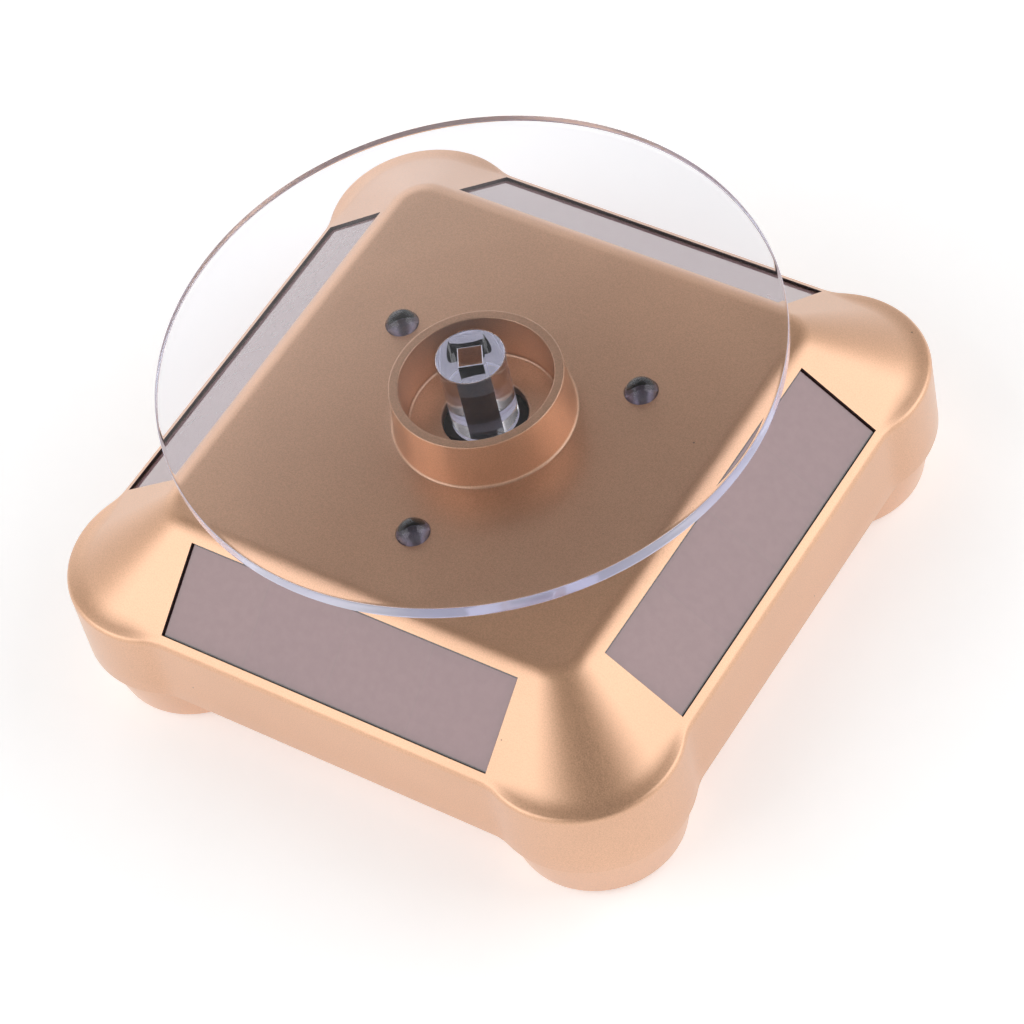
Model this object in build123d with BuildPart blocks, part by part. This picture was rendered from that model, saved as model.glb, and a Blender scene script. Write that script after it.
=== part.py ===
from build123d import *
import os
from math import cos, pi, radians, sin, tan

# Solar turntable display stand, in millimetres, +Z up.
# Origin: centre of the body, on the surface that the rubber pads stand on.
# Front is -Y, back is +Y, left is -X, right is +X.

# ---------------------------------------------------------------- driving sizes
# Body moulding
body_half = 50.4  # centre to the flat side walls
slope_run = 14.6  # width in plan of the sloping sides
slope_angle = 37.2  # slope of the sides, degrees from level
wall = 1.8  # moulded wall thickness
lobe_radius = 15.5  # round corner lobes
lobe_overhang = 1.55  # how far a lobe stands out past the side walls
neck_radius = 8.0  # hollow blend between a side wall and a lobe
plateau_corner = 5.0  # plan radius of the plateau's corners
plateau_edge = 4.0  # rounding between plateau and slopes
seam_gap = 0.15  # base plate to the inside of the wall

# Collar and spindle well
collar_height = 8.3
collar_top_radius = 13.05
collar_base_radius = 13.75
collar_bore_radius = 11.6
well_hole_radius = 6.5

# Feet, pads and base plate
foot_height = 10.0  # table to the underside of the walls
foot_top_radius = 14.9
foot_bottom_radius = 12.8
foot_edge = 1.2  # rounding at the bottom of a foot
foot_set_in = 0.2  # foot axis inwards of the lobe axis
foot_wall = 2.0
pad_radius = 10.5
pad_thickness = 1.5
pad_seat = 1.0  # how deep a pad sits in its foot
pad_gap = 0.2
base_thickness = 2.0

# Solar panels
window_length = 57.0
window_width = 14.5
window_set_down = 2.1  # plateau edge to window, measured down the slope
window_depth = 0.5  # slope surface down to the glass
panel_overlap = 1.0  # panel beyond its window on each side
panel_thickness = 1.6
panel_gap = 0.15

# Lamps
lamp_count = 3
lamp_circle = 23.3
lamp_angle = 35.0
lamp_radius = 2.5
lamp_length = 8.6
lamp_proud = 2.0
lamp_flange_radius = 2.9
lamp_flange = 1.0
lamp_gap = 0.1

# Turntable
disc_radius = 46.5
disc_thickness = 2.25
disc_edge = 0.35
disc_above_collar = 5.1
stem_radius = 5.05
stem_end_above_plateau = -0.9  # the stem ends a little way down the well hole
spindle_square = 3.6
square_gap = 0.05
square_angle = 35.0  # turn of the square about the axis at rest
square_length = 9
flange_radius = 4.2
flange_thickness = 0.8

# Gear train: three equal stages of a 12-tooth pinion on a 36-tooth wheel
gear_module = 0.5
wheel_teeth = 36
pinion_teeth = 12
addendum_share = 0.9  # tooth height over the pitch circle, in modules
dedendum_share = 1.2  # tooth depth under the pitch circle, in modules
tooth_share = 0.42  # tooth thickness on the pitch circle, as a share of the pitch
flank_angle = 20.0
gear_width = 2.0
run_gap = 0.5  # between neighbouring gears, and gears and plates
end_play = 0.15
bearing_gap = 0.05  # radial running clearance
idler_b_angle = 120.0  # direction from the spindle to idler B
idler_a_angle = 60.0  # direction from idler B to idler A
motor_angle = -10.0  # direction from idler A to the motor
idler_pin_radius = 0.75
hub_radius = 1.6
spindle_radius = 2.5
spindle_waist_radius = 2.0
spindle_pivot_radius = 1.5
bush_radius = 3.6

# Gearbox frame
plate_thickness = 1.5
lid_gap = 0.2
plate_front = 4.5  # plate edges in front of the spindle axis
plate_margin = 0.8  # plate edges beyond what they carry, and posts clear of a plate
pillar_radius = 2.0
pillar_gap = 1.05  # pillar to the tip of the nearest wheel
post_radius = 2.6
post_front = 1.5  # front posts in front of the spindle axis

# Motor
motor_radius = 10.0
motor_height = 8.8
motor_wall = 0.8
motor_gap = 0.5  # motor to the base plate
motor_cap_thickness = 1.6
motor_shaft_radius = 0.75
armature_radius = 7.6
armature_length = 5.0
magnet_thickness = 1.2
magnet_split = 3.0  # gap between the two arc magnets
motor_screw_offset = 6.5

# AA cell and its bay
cell_diameter = 14.5
cell_length = 50.5
cell_nub_radius = 2.75
cell_nub = 1.0
cell_gap = 0.3
bay_wall = 1.0
bay_clear = 0.7  # bay to the gearbox plate
contact_room = 2.2  # at each end of the cell
contact_sheet = 0.4
contact_size = 9.0
door_thickness = 1.6
door_gap = 0.15
door_tab_width = 3.6
door_tab_reach = 1.7
door_tab_thickness = 0.8
door_tab_offset = 4.2  # tab centres either side of the door's centre line

# Circuit board
board_centre_x = -38.0
board_width = 14.0
board_length = 32.0
board_thickness = 1.2
board_standoff = 3.0
board_screw_offset = 13.0
capacitor_radius = 3.15
capacitor_height = 7.5

# Slide switch
switch_x = 38.0
switch_width = 4.4
switch_length = 9.0
switch_height = 4.7
switch_shell = 0.6
switch_travel = 2.5
knob_width = 1.8
knob_length = 2.6
knob_proud = 1.5
carrier_height = 1.8
knob_gap = 0.15

# Screws
housing_screw_radius = 1.3
housing_head_radius = 2.6
housing_head_height = 1.6
housing_screw_grip = 10.0
boss_radius = 3.2
small_screw_radius = 0.8
small_head_radius = 1.6
small_head_height = 1.0
small_screw_grip = 5.0
screw_clearance = 0.2

# ---------------------------------------------------------------- worked-out sizes
STAND = (Align.CENTER, Align.CENTER, Align.MIN)
slope = radians(slope_angle)
plateau_half = body_half - slope_run
corner_centre = plateau_half - plateau_corner
lobe_centre = body_half + lobe_overhang - lobe_radius
foot_centre = lobe_centre - foot_set_in
base_top = foot_height + base_thickness

cell_radius = cell_diameter / 2
cell_z = base_top + cell_radius
bay_inner = cell_radius + cell_gap
bay_outer = bay_inner + bay_wall
bay_y = -(plate_front + bay_clear + bay_outer)
bay_half = cell_length / 2 + contact_room

# The output wheel runs above both the cell's bay and the motor's stack of gears.
gear_step = gear_width + run_gap
motor_stack = motor_gap + motor_height + plate_thickness + run_gap + 2 * gear_step
level_3 = base_top + max(cell_radius + bay_outer + run_gap, motor_stack)
level_2 = level_3 - gear_step
level_1 = level_2 - gear_step
lower_plate_top = level_1 - run_gap
lower_plate_bottom = lower_plate_top - plate_thickness
upper_plate_bottom = level_3 + gear_width + run_gap
upper_plate_top = upper_plate_bottom + plate_thickness
plateau_z = upper_plate_top + lid_gap + wall
motor_bottom = lower_plate_bottom - motor_height

pitch_distance = gear_module * (wheel_teeth + pinion_teeth) / 2
pinion_tip = gear_module * (pinion_teeth / 2 + addendum_share)
wheel_tip = gear_module * (wheel_teeth / 2 + addendum_share)


def beside(start, angle):
    """Point one gear centre distance away from start, in the given direction."""
    x = start[0] + pitch_distance * cos(radians(angle))
    y = start[1] + pitch_distance * sin(radians(angle))
    return (x, y)


spindle_place = (0.0, 0.0)
idler_b_place = beside(spindle_place, idler_b_angle)
idler_a_place = beside(idler_b_place, idler_a_angle)
motor_place = beside(idler_a_place, motor_angle)

# Pillars stand beside the wheels, and posts beside the upper plate and behind the motor.
pillar_x = wheel_tip + pillar_gap + pillar_radius
upper_plate_half = pillar_x + pillar_radius + plate_margin
upper_plate_back = idler_a_place[1] + pillar_radius + plate_margin
pillar_places = [(-pillar_x, 0), (pillar_x, 0), (-pillar_x, idler_a_place[1])]
post_x = upper_plate_half + plate_margin + post_radius
post_back = motor_place[1] + motor_radius + plate_margin
post_places = [(-post_x, -post_front), (post_x, -post_front), (-post_x, post_back), (post_x, post_back)]
lower_plate_half = post_x + post_radius + plate_margin
lower_plate_back = post_back + post_radius + plate_margin

collar_top = plateau_z + collar_height
disc_bottom = collar_top + disc_above_collar
stem_bottom = plateau_z + stem_end_above_plateau

corner_places = [(-1, -1), (1, -1), (1, 1), (-1, 1)]
corner_names = ["front_left", "front_right", "back_right", "back_left"]
side_directions = [(0, -1), (1, 0), (0, 1), (-1, 0)]
side_names = ["front", "right", "back", "left"]
foot_places = [(x * foot_centre, y * foot_centre) for x, y in corner_places]

os.makedirs("parts", exist_ok=True)


def finish(piece, name):
    """Label a finished piece and write it to its own file."""
    piece.part.label = name
    export_step(piece.part, f"parts/{name}.step")


def rods(places, z, height, radius, mode=Mode.ADD):
    """Upright round rods or holes of one size, standing at height z."""
    for x, y in places:
        with Locations((x, y, z)):
            Cylinder(radius, height, align=STAND, mode=mode)


# ---------------------------------------------------------------- body form
def wall_outline(inset):
    """Plan of the walls, moved inwards by inset: two crossed bars and four lobes."""
    half = body_half - inset
    with BuildSketch() as outline:
        Rectangle(2 * half, 2 * lobe_centre)
        Rectangle(2 * lobe_centre, 2 * half)
        with Locations(*[(x * lobe_centre, y * lobe_centre) for x, y in corner_places]):
            Circle(lobe_radius - inset)
        necks = outline.vertices().filter_by(
            lambda v: abs(max(abs(v.X), abs(v.Y)) - half) < 0.01
        )
        fillet(necks, radius=neck_radius + inset)
    return outline.sketch


def body_form(inset, drop=0.0):
    """Closed form of the body, moved inwards by inset, reaching drop below the walls."""
    half = body_half - inset
    top_half = plateau_half - inset * tan(slope / 2)
    top_z = plateau_z - inset
    rim_z = top_z - (half - top_half) * tan(slope)
    outline = wall_outline(inset)
    with BuildPart() as form:
        with BuildSketch(Plane.XY.offset(foot_height - drop)):
            add(outline)
        extrude(amount=rim_z - foot_height + drop)
        for turned in (False, True):
            low = (2 * lobe_centre, 2 * half) if turned else (2 * half, 2 * lobe_centre)
            high = (2 * corner_centre, 2 * top_half) if turned else (2 * top_half, 2 * corner_centre)
            with BuildSketch(Plane.XY.offset(rim_z)):
                Rectangle(*low)
            with BuildSketch(Plane.XY.offset(top_z)):
                Rectangle(*high)
            loft()
        for x, y in corner_places:
            with BuildSketch(Plane.XY.offset(rim_z)):
                with Locations((x * lobe_centre, y * lobe_centre)):
                    Circle(lobe_radius - inset)
            with BuildSketch(Plane.XY.offset(top_z)):
                with Locations((x * corner_centre, y * corner_centre)):
                    Circle(top_half - corner_centre)
            loft()
    return form.part


def slope_plane(direction, depth):
    """Plane on a window's centre, depth under the slope: x along the side, y up the slope."""
    out_x, out_y = direction
    down_slope = window_set_down + window_width / 2
    out = plateau_half + down_slope * cos(slope) - depth * sin(slope)
    height = plateau_z - down_slope * sin(slope) - depth * cos(slope)
    return Plane(
        origin=(out_x * out, out_y * out, height),
        x_dir=(-out_y, out_x, 0),
        z_dir=(out_x * sin(slope), out_y * sin(slope), cos(slope)),
    )


outer_form = body_form(0.0)
inner_form = body_form(wall, drop=1.0)
boss_limit = body_form(wall / 2)

# Screw bosses over the feet and posts for the gearbox, grown up into the roof
with BuildPart() as bosses:
    rods(foot_places, base_top, plateau_z, boss_radius)
    rods(post_places, lower_plate_top, plateau_z, post_radius)
    add(boss_limit, mode=Mode.INTERSECT)

with BuildPart() as top_shell:
    add(outer_form)
    fillet(top_shell.faces().sort_by(Axis.Z)[-1].edges(), radius=plateau_edge)
    add(inner_form, mode=Mode.SUBTRACT)
    add(bosses.part)
    with BuildSketch(Plane.XZ):
        with BuildLine():
            Polyline(
                (collar_bore_radius, plateau_z - wall / 2),
                (collar_base_radius, plateau_z - wall / 2),
                (collar_base_radius, plateau_z),
                (collar_top_radius, collar_top),
                (collar_bore_radius, collar_top),
                close=True,
            )
        make_face()
    revolve(axis=Axis.Z)
    rods([spindle_place], plateau_z - 2 * wall, 3 * wall, well_hole_radius, Mode.SUBTRACT)
    with PolarLocations(lamp_circle, lamp_count, start_angle=lamp_angle):
        with Locations((0, 0, plateau_z)):
            Cylinder(lamp_radius + lamp_gap, 3 * wall, mode=Mode.SUBTRACT)
    for direction in side_directions:
        with BuildSketch(slope_plane(direction, -wall)):
            Rectangle(window_length, window_width)
        extrude(amount=-4 * wall, mode=Mode.SUBTRACT)
        with BuildSketch(slope_plane(direction, window_depth)):
            Rectangle(
                window_length + 2 * (panel_overlap + panel_gap),
                window_width + 2 * (panel_overlap + panel_gap),
            )
        extrude(amount=-2 * wall, mode=Mode.SUBTRACT)
    rods(foot_places, base_top, housing_screw_grip + 1, housing_screw_radius, Mode.SUBTRACT)
    rods(post_places, lower_plate_top, small_screw_grip + 1, small_screw_radius, Mode.SUBTRACT)
finish(top_shell, "top_shell")

# ---------------------------------------------------------------- underside
with BuildPart() as bay_form:
    with BuildSketch(Plane.YZ.offset(-bay_half - bay_wall)):
        with Locations((bay_y, cell_z)):
            Circle(bay_outer)
        with Locations((bay_y, (foot_height + cell_z) / 2)):
            Rectangle(2 * bay_outer, cell_z - foot_height)
    extrude(amount=2 * (bay_half + bay_wall))

with BuildPart() as bay_room:
    with BuildSketch(Plane.YZ.offset(-bay_half)):
        with Locations((bay_y, cell_z)):
            Circle(bay_inner)
        with Locations((bay_y, (foot_height - 1 + cell_z) / 2)):
            Rectangle(2 * bay_inner, cell_z - foot_height + 1)
    extrude(amount=2 * bay_half)

tab_places = [bay_y - door_tab_offset, bay_y + door_tab_offset]
tab_slot_height = base_thickness + door_gap
base_outline = wall_outline(wall + seam_gap)
standoff_places = [(board_centre_x, -board_screw_offset), (board_centre_x, board_screw_offset)]
slot_length = knob_length + switch_travel + 2 * knob_gap

with BuildPart() as base_plate:
    with BuildSketch(Plane.XY.offset(foot_height)):
        add(base_outline)
    extrude(amount=base_thickness)
    add(bay_form.part)
    rods(standoff_places, base_top, board_standoff, 2.4 * small_screw_radius)
    add(bay_room.part, mode=Mode.SUBTRACT)
    with Locations(*[(-bay_half - bay_wall / 2, y, base_top) for y in tab_places]):
        Box(
            3 * bay_wall,
            door_tab_width + 4 * door_gap,
            tab_slot_height,
            align=STAND,
            mode=Mode.SUBTRACT,
        )
    with Locations((switch_x, 0, foot_height)):
        Box(knob_width + 2 * knob_gap, slot_length, 3 * base_thickness, mode=Mode.SUBTRACT)
    rods(
        foot_places,
        foot_height - 1,
        base_thickness + 2,
        housing_screw_radius + screw_clearance,
        Mode.SUBTRACT,
    )
    rods(standoff_places, base_top, board_standoff, small_screw_radius, Mode.SUBTRACT)
finish(base_plate, "base_plate")

foot_bottom_z = pad_thickness - pad_seat
for (x, y), corner in zip(foot_places, corner_names):
    with BuildPart() as foot:
        with BuildSketch(Plane.XY.offset(foot_bottom_z)):
            with Locations((x, y)):
                Circle(foot_bottom_radius)
        with BuildSketch(Plane.XY.offset(foot_height)):
            with Locations((x, y)):
                Circle(foot_top_radius)
        loft()
        fillet(foot.edges().group_by(Axis.Z)[0], radius=foot_edge)
        rods([(x, y)], 0, pad_thickness, pad_radius + pad_gap, Mode.SUBTRACT)
        with BuildSketch(Plane.XY.offset(pad_thickness + foot_wall)):
            with Locations((x, y)):
                Circle(foot_bottom_radius - foot_wall)
                Circle(housing_head_radius + foot_wall, mode=Mode.SUBTRACT)
        extrude(amount=foot_height, mode=Mode.SUBTRACT)
        rods(
            [(x, y)],
            0,
            pad_thickness + housing_head_height + screw_clearance,
            housing_head_radius + screw_clearance,
            Mode.SUBTRACT,
        )
        rods([(x, y)], 0, foot_height + 1, housing_screw_radius + screw_clearance, Mode.SUBTRACT)
    finish(foot, f"foot_{corner}")

    with BuildPart() as pad:
        rods([(x, y)], 0, pad_thickness, pad_radius)
        chamfer(pad.edges().group_by(Axis.Z)[0], length=foot_bottom_z / 2)
    finish(pad, f"pad_{corner}")

head_seat_z = pad_thickness + housing_head_height + screw_clearance
with BuildPart() as housing_screws:
    rods(foot_places, head_seat_z - housing_head_height, housing_head_height, housing_head_radius)
    rods(
        foot_places,
        head_seat_z,
        base_top + housing_screw_grip - head_seat_z,
        housing_screw_radius,
    )
    with Locations(*[(x, y, head_seat_z - housing_head_height) for x, y in foot_places]):
        Box(2 * housing_screw_radius, 0.6, housing_head_height, mode=Mode.SUBTRACT)
        Box(0.6, 2 * housing_screw_radius, housing_head_height, mode=Mode.SUBTRACT)
finish(housing_screws, "housing_screws")

# Battery door: a plate with two hooked tabs on its left end and a finger notch on its right
door_half = bay_half - door_gap
door_width = 2 * (bay_inner - door_gap)
with BuildPart() as battery_door:
    with Locations((0, bay_y, foot_height)):
        Box(2 * door_half, door_width, door_thickness, align=STAND)
    tab_root = -door_half
    for y in tab_places:
        with Locations((tab_root + door_tab_thickness / 2, y, foot_height)):
            Box(
                door_tab_thickness,
                door_tab_width,
                base_thickness + door_gap + door_tab_thickness,
                align=STAND,
            )
        tab_middle = tab_root + (door_tab_thickness - door_tab_reach) / 2
        tab_length = door_tab_reach + door_tab_thickness
        with Locations((tab_middle, y, base_top + door_gap)):
            Box(tab_length, door_tab_width, door_tab_thickness, align=STAND)
    with Locations((door_half, bay_y, foot_height)):
        Cylinder(bay_inner / 2, door_thickness, mode=Mode.SUBTRACT)
finish(battery_door, "battery_door")

# ---------------------------------------------------------------- cell and contacts
with BuildPart() as battery_cell:
    with BuildSketch(Plane.YZ.offset(-cell_length / 2)):
        with Locations((bay_y, cell_z)):
            Circle(cell_radius)
    extrude(amount=cell_length - cell_nub)
    fillet(battery_cell.edges(), radius=0.6)
    with BuildSketch(Plane.YZ.offset(cell_length / 2 - 2 * cell_nub)):
        with Locations((bay_y, cell_z)):
            Circle(cell_nub_radius)
    extrude(amount=2 * cell_nub)
finish(battery_cell, "battery_cell")

with BuildPart() as contact_plate:
    with Locations((bay_half - contact_sheet / 2, bay_y, cell_z)):
        Box(contact_sheet, contact_size, contact_size)
    with BuildSketch(Plane.YZ.offset(bay_half - contact_sheet)):
        with Locations((bay_y, cell_z)):
            Circle(cell_nub_radius)
    extrude(amount=contact_sheet - contact_room, taper=20)
finish(contact_plate, "contact_plate")

spring_reach = contact_room - contact_sheet
with BuildPart() as contact_spring:
    with Locations((-bay_half + contact_sheet / 2, bay_y, cell_z)):
        Box(contact_sheet, contact_size, contact_size)
    with BuildSketch(Plane.XZ.offset(-bay_y)):
        with BuildLine():
            Polyline(
                (-bay_half + contact_sheet / 2, cell_z + contact_size / 2),
                (-bay_half + contact_room, cell_z + contact_sheet),
                (-bay_half + contact_room, cell_z - contact_sheet),
                (-bay_half + contact_sheet / 2, cell_z - contact_size / 2),
                (-bay_half + contact_sheet / 2, cell_z - contact_size / 2 + 2 * contact_sheet),
                (-bay_half + contact_room - contact_sheet, cell_z - contact_sheet / 2),
                (-bay_half + contact_room - contact_sheet, cell_z + contact_sheet / 2),
                (-bay_half + contact_sheet / 2, cell_z + contact_size / 2 - 2 * contact_sheet),
                close=True,
            )
        make_face()
    extrude(amount=contact_size / 4, both=True)
finish(contact_spring, "contact_spring")

# ---------------------------------------------------------------- solar panels and lamps
for direction, side in zip(side_directions, side_names):
    with BuildPart() as panel:
        with BuildSketch(slope_plane(direction, window_depth)):
            Rectangle(window_length + 2 * panel_overlap, window_width + 2 * panel_overlap)
        extrude(amount=-panel_thickness)
    finish(panel, f"solar_panel_{side}")

lamp_base_z = plateau_z + lamp_proud - lamp_length
with BuildPart() as lamps:
    with BuildSketch(Plane.XY.offset(lamp_base_z)):
        with PolarLocations(lamp_circle, lamp_count, start_angle=lamp_angle):
            Circle(lamp_flange_radius)
    extrude(amount=lamp_flange)
    with BuildSketch(Plane.XY.offset(lamp_base_z)):
        with PolarLocations(lamp_circle, lamp_count, start_angle=lamp_angle):
            Circle(lamp_radius)
    extrude(amount=lamp_length)
    fillet(lamps.edges().group_by(Axis.Z)[-1], radius=0.98 * lamp_radius)
finish(lamps, "lamps")

# ---------------------------------------------------------------- turntable
with BuildPart() as disc:
    rods([spindle_place], disc_bottom, disc_thickness, disc_radius)
    fillet(disc.edges(), radius=disc_edge)
finish(disc, "turntable_disc")

square_hole = spindle_square + 2 * square_gap
with BuildPart() as stem:
    rods([spindle_place], stem_bottom, disc_bottom - stem_bottom, stem_radius)
    with Locations(Location((0, 0, stem_bottom), (0, 0, square_angle))):
        Box(square_hole, square_hole, disc_bottom - stem_bottom, align=STAND, mode=Mode.SUBTRACT)
    fillet(stem.edges().filter_by(GeomType.CIRCLE).group_by(Axis.Z)[0], radius=disc_edge)
finish(stem, "disc_stem")

with BuildPart() as spindle:
    rods([spindle_place], lower_plate_bottom, plate_thickness + run_gap, spindle_pivot_radius)
    rods([spindle_place], lower_plate_top + end_play, level_3 - lower_plate_top, spindle_waist_radius)
    rods([spindle_place], level_3, stem_bottom - level_3, spindle_radius)
    rods([spindle_place], stem_bottom - flange_thickness, flange_thickness, flange_radius)
    with Locations(Location((0, 0, stem_bottom), (0, 0, square_angle))):
        Box(spindle_square, spindle_square, square_length, align=STAND)
    chamfer(spindle.faces().sort_by(Axis.Z)[-1].edges(), length=2 * bearing_gap)
finish(spindle, "drive_spindle")

# ---------------------------------------------------------------- gears
def gear_outline(teeth, first_tooth):
    """Plan of a spur gear: a root disc with straight-flanked teeth from first_tooth round."""
    pitch_radius = gear_module * teeth / 2
    root_radius = pitch_radius - gear_module * dedendum_share
    tip_radius = pitch_radius + gear_module * addendum_share
    half_pitch = tooth_share * pi * gear_module / 2
    half_tip = half_pitch - gear_module * addendum_share * tan(radians(flank_angle))
    half_root = half_pitch + gear_module * dedendum_share * tan(radians(flank_angle))
    sunk = 0.05 * root_radius
    with BuildSketch() as outline:
        Circle(root_radius)
        with PolarLocations(0, teeth, start_angle=first_tooth):
            Polygon(
                (root_radius - sunk, -half_root),
                (root_radius, -half_root),
                (tip_radius, -half_tip),
                (tip_radius, half_tip),
                (root_radius, half_root),
                (root_radius - sunk, half_root),
                align=None,
            )
    return outline.sketch


def wheel_towards(angle):
    """Wheel with a tooth pointing at the pinion it drives."""
    return gear_outline(wheel_teeth, angle)


def pinion_towards(angle):
    """Pinion with a gap facing the wheel it meshes with."""
    return gear_outline(pinion_teeth, angle + 180 / pinion_teeth)


output_wheel_plan = wheel_towards(idler_b_angle)
with BuildPart() as output_wheel:
    with BuildSketch(Plane.XY.offset(level_3)):
        add(output_wheel_plan)
    extrude(amount=gear_width)
    rods([spindle_place], level_3, gear_width, spindle_radius, Mode.SUBTRACT)
finish(output_wheel, "output_wheel")

idlers = [
    ("idler_gear_b", idler_b_place, idler_b_angle + 180, level_3, idler_a_angle, level_2),
    ("idler_gear_a", idler_a_place, idler_a_angle + 180, level_2, motor_angle, level_1),
]
for name, place, pinion_faces, pinion_z, wheel_faces, wheel_z in idlers:
    pinion_plan = pinion_towards(pinion_faces)
    wheel_plan = wheel_towards(wheel_faces)
    with BuildPart() as idler:
        with BuildSketch(Plane.XY.offset(pinion_z)):
            with Locations(place):
                add(pinion_plan)
        extrude(amount=gear_width)
        with BuildSketch(Plane.XY.offset(wheel_z)):
            with Locations(place):
                add(wheel_plan)
        extrude(amount=gear_width)
        hub_bottom = lower_plate_top + end_play
        hub_length = upper_plate_bottom - lower_plate_top - 2 * end_play
        rods([place], hub_bottom, hub_length, hub_radius)
        rods([place], hub_bottom, hub_length, idler_pin_radius + bearing_gap, Mode.SUBTRACT)
    finish(idler, name)

motor_pinion_plan = pinion_towards(motor_angle + 180)
with BuildPart() as motor_pinion:
    with BuildSketch(Plane.XY.offset(level_1)):
        with Locations(motor_place):
            add(motor_pinion_plan)
    extrude(amount=gear_width)
    rods([motor_place], level_1, gear_width, motor_shaft_radius, Mode.SUBTRACT)
finish(motor_pinion, "motor_pinion")

# ---------------------------------------------------------------- gearbox frame
pin_places = [idler_b_place, idler_a_place]
pin_length = upper_plate_top - lower_plate_bottom
across = [
    -motor_screw_offset * sin(radians(motor_angle)),
    motor_screw_offset * cos(radians(motor_angle)),
]
motor_screw_places = [
    (motor_place[0] + side * across[0], motor_place[1] + side * across[1]) for side in (-1, 1)
]

with BuildPart() as lower_plate:
    with Locations((0, (lower_plate_back - plate_front) / 2, lower_plate_bottom)):
        Box(2 * lower_plate_half, lower_plate_back + plate_front, plate_thickness, align=STAND)
    fillet(lower_plate.edges().filter_by(Axis.Z), radius=pillar_radius)
    rods(pillar_places, lower_plate_top, upper_plate_bottom - lower_plate_top, pillar_radius)
    rods([spindle_place], 0, plateau_z, spindle_pivot_radius + bearing_gap, Mode.SUBTRACT)
    rods(pin_places, 0, plateau_z, idler_pin_radius, Mode.SUBTRACT)
    rods([motor_place], 0, plateau_z, pinion_tip + screw_clearance, Mode.SUBTRACT)
    rods(motor_screw_places, 0, plateau_z, small_screw_radius + bearing_gap, Mode.SUBTRACT)
    rods(post_places, 0, plateau_z, small_screw_radius + screw_clearance, Mode.SUBTRACT)
    rods(
        pillar_places,
        upper_plate_bottom - small_screw_grip,
        small_screw_grip,
        small_screw_radius,
        Mode.SUBTRACT,
    )
finish(lower_plate, "gearbox_lower_plate")

with BuildPart() as upper_plate:
    with Locations((0, (upper_plate_back - plate_front) / 2, upper_plate_bottom)):
        Box(2 * upper_plate_half, upper_plate_back + plate_front, plate_thickness, align=STAND)
    fillet(upper_plate.edges().filter_by(Axis.Z), radius=pillar_radius)
    rods([spindle_place], 0, plateau_z, bush_radius, Mode.SUBTRACT)
    rods(pin_places, 0, plateau_z, idler_pin_radius, Mode.SUBTRACT)
    rods(pillar_places, 0, plateau_z, small_screw_radius + screw_clearance, Mode.SUBTRACT)
    rods(
        pillar_places,
        upper_plate_top - small_head_height,
        small_head_height,
        small_head_radius + bearing_gap,
        Mode.SUBTRACT,
    )
    with PolarLocations(lamp_circle, lamp_count, start_angle=lamp_angle):
        with Locations((0, 0, upper_plate_bottom)):
            Cylinder(lamp_flange_radius + lamp_gap, 3 * plate_thickness, mode=Mode.SUBTRACT)
finish(upper_plate, "gearbox_upper_plate")

with BuildPart() as bush:
    rods([spindle_place], upper_plate_bottom, plate_thickness, bush_radius)
    rods([spindle_place], 0, plateau_z, spindle_radius + bearing_gap, Mode.SUBTRACT)
finish(bush, "spindle_bush")

with BuildPart() as idler_pins:
    rods(pin_places, lower_plate_bottom, pin_length, idler_pin_radius)
finish(idler_pins, "idler_pins")

with BuildPart() as plate_screws:
    rods(pillar_places, upper_plate_top - small_head_height, small_head_height, small_head_radius)
    rods(
        pillar_places,
        upper_plate_bottom - small_screw_grip,
        small_screw_grip + plate_thickness - small_head_height,
        small_screw_radius,
    )
finish(plate_screws, "gearbox_plate_screws")

with BuildPart() as post_screws:
    rods(post_places, lower_plate_bottom - small_head_height, small_head_height, small_head_radius)
    rods(
        post_places,
        lower_plate_bottom,
        plate_thickness + small_screw_grip,
        small_screw_radius,
    )
finish(post_screws, "gearbox_post_screws")

# ---------------------------------------------------------------- motor
motor_inner = motor_radius - motor_wall
with BuildPart() as motor_can:
    rods([motor_place], motor_bottom, motor_height, motor_radius)
    fillet(motor_can.edges().group_by(Axis.Z)[-1], radius=motor_wall)
    rods([motor_place], motor_bottom, motor_height - motor_wall, motor_inner, Mode.SUBTRACT)
    rods([motor_place], 0, plateau_z, motor_shaft_radius + bearing_gap, Mode.SUBTRACT)
    rods(motor_screw_places, 0, plateau_z, small_screw_radius, Mode.SUBTRACT)
finish(motor_can, "motor_can")

with BuildPart() as motor_cap:
    rods([motor_place], motor_bottom, motor_cap_thickness, motor_inner)
    rods([motor_place], 0, plateau_z, motor_shaft_radius + bearing_gap, Mode.SUBTRACT)
finish(motor_cap, "motor_end_cap")

armature_z = motor_bottom + motor_cap_thickness + run_gap / 2
with BuildPart() as armature:
    rods([motor_place], armature_z, armature_length, armature_radius)
    rods([motor_place], 0, plateau_z, motor_shaft_radius, Mode.SUBTRACT)
finish(armature, "motor_armature")

with BuildPart() as magnets:
    rods([motor_place], armature_z, armature_length, motor_inner)
    rods([motor_place], 0, plateau_z, motor_inner - magnet_thickness, Mode.SUBTRACT)
    with Locations((*motor_place, armature_z)):
        Box(3 * motor_radius, magnet_split, armature_length, align=STAND, mode=Mode.SUBTRACT)
finish(magnets, "motor_magnets")

with BuildPart() as motor_shaft:
    rods([motor_place], motor_bottom, level_1 + gear_width - motor_bottom, motor_shaft_radius)
finish(motor_shaft, "motor_shaft")

with BuildPart() as motor_screws:
    rods(motor_screw_places, lower_plate_top, small_head_height, small_head_radius)
    rods(
        motor_screw_places,
        lower_plate_bottom - motor_wall,
        plate_thickness + motor_wall,
        small_screw_radius,
    )
finish(motor_screws, "motor_screws")

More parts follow.
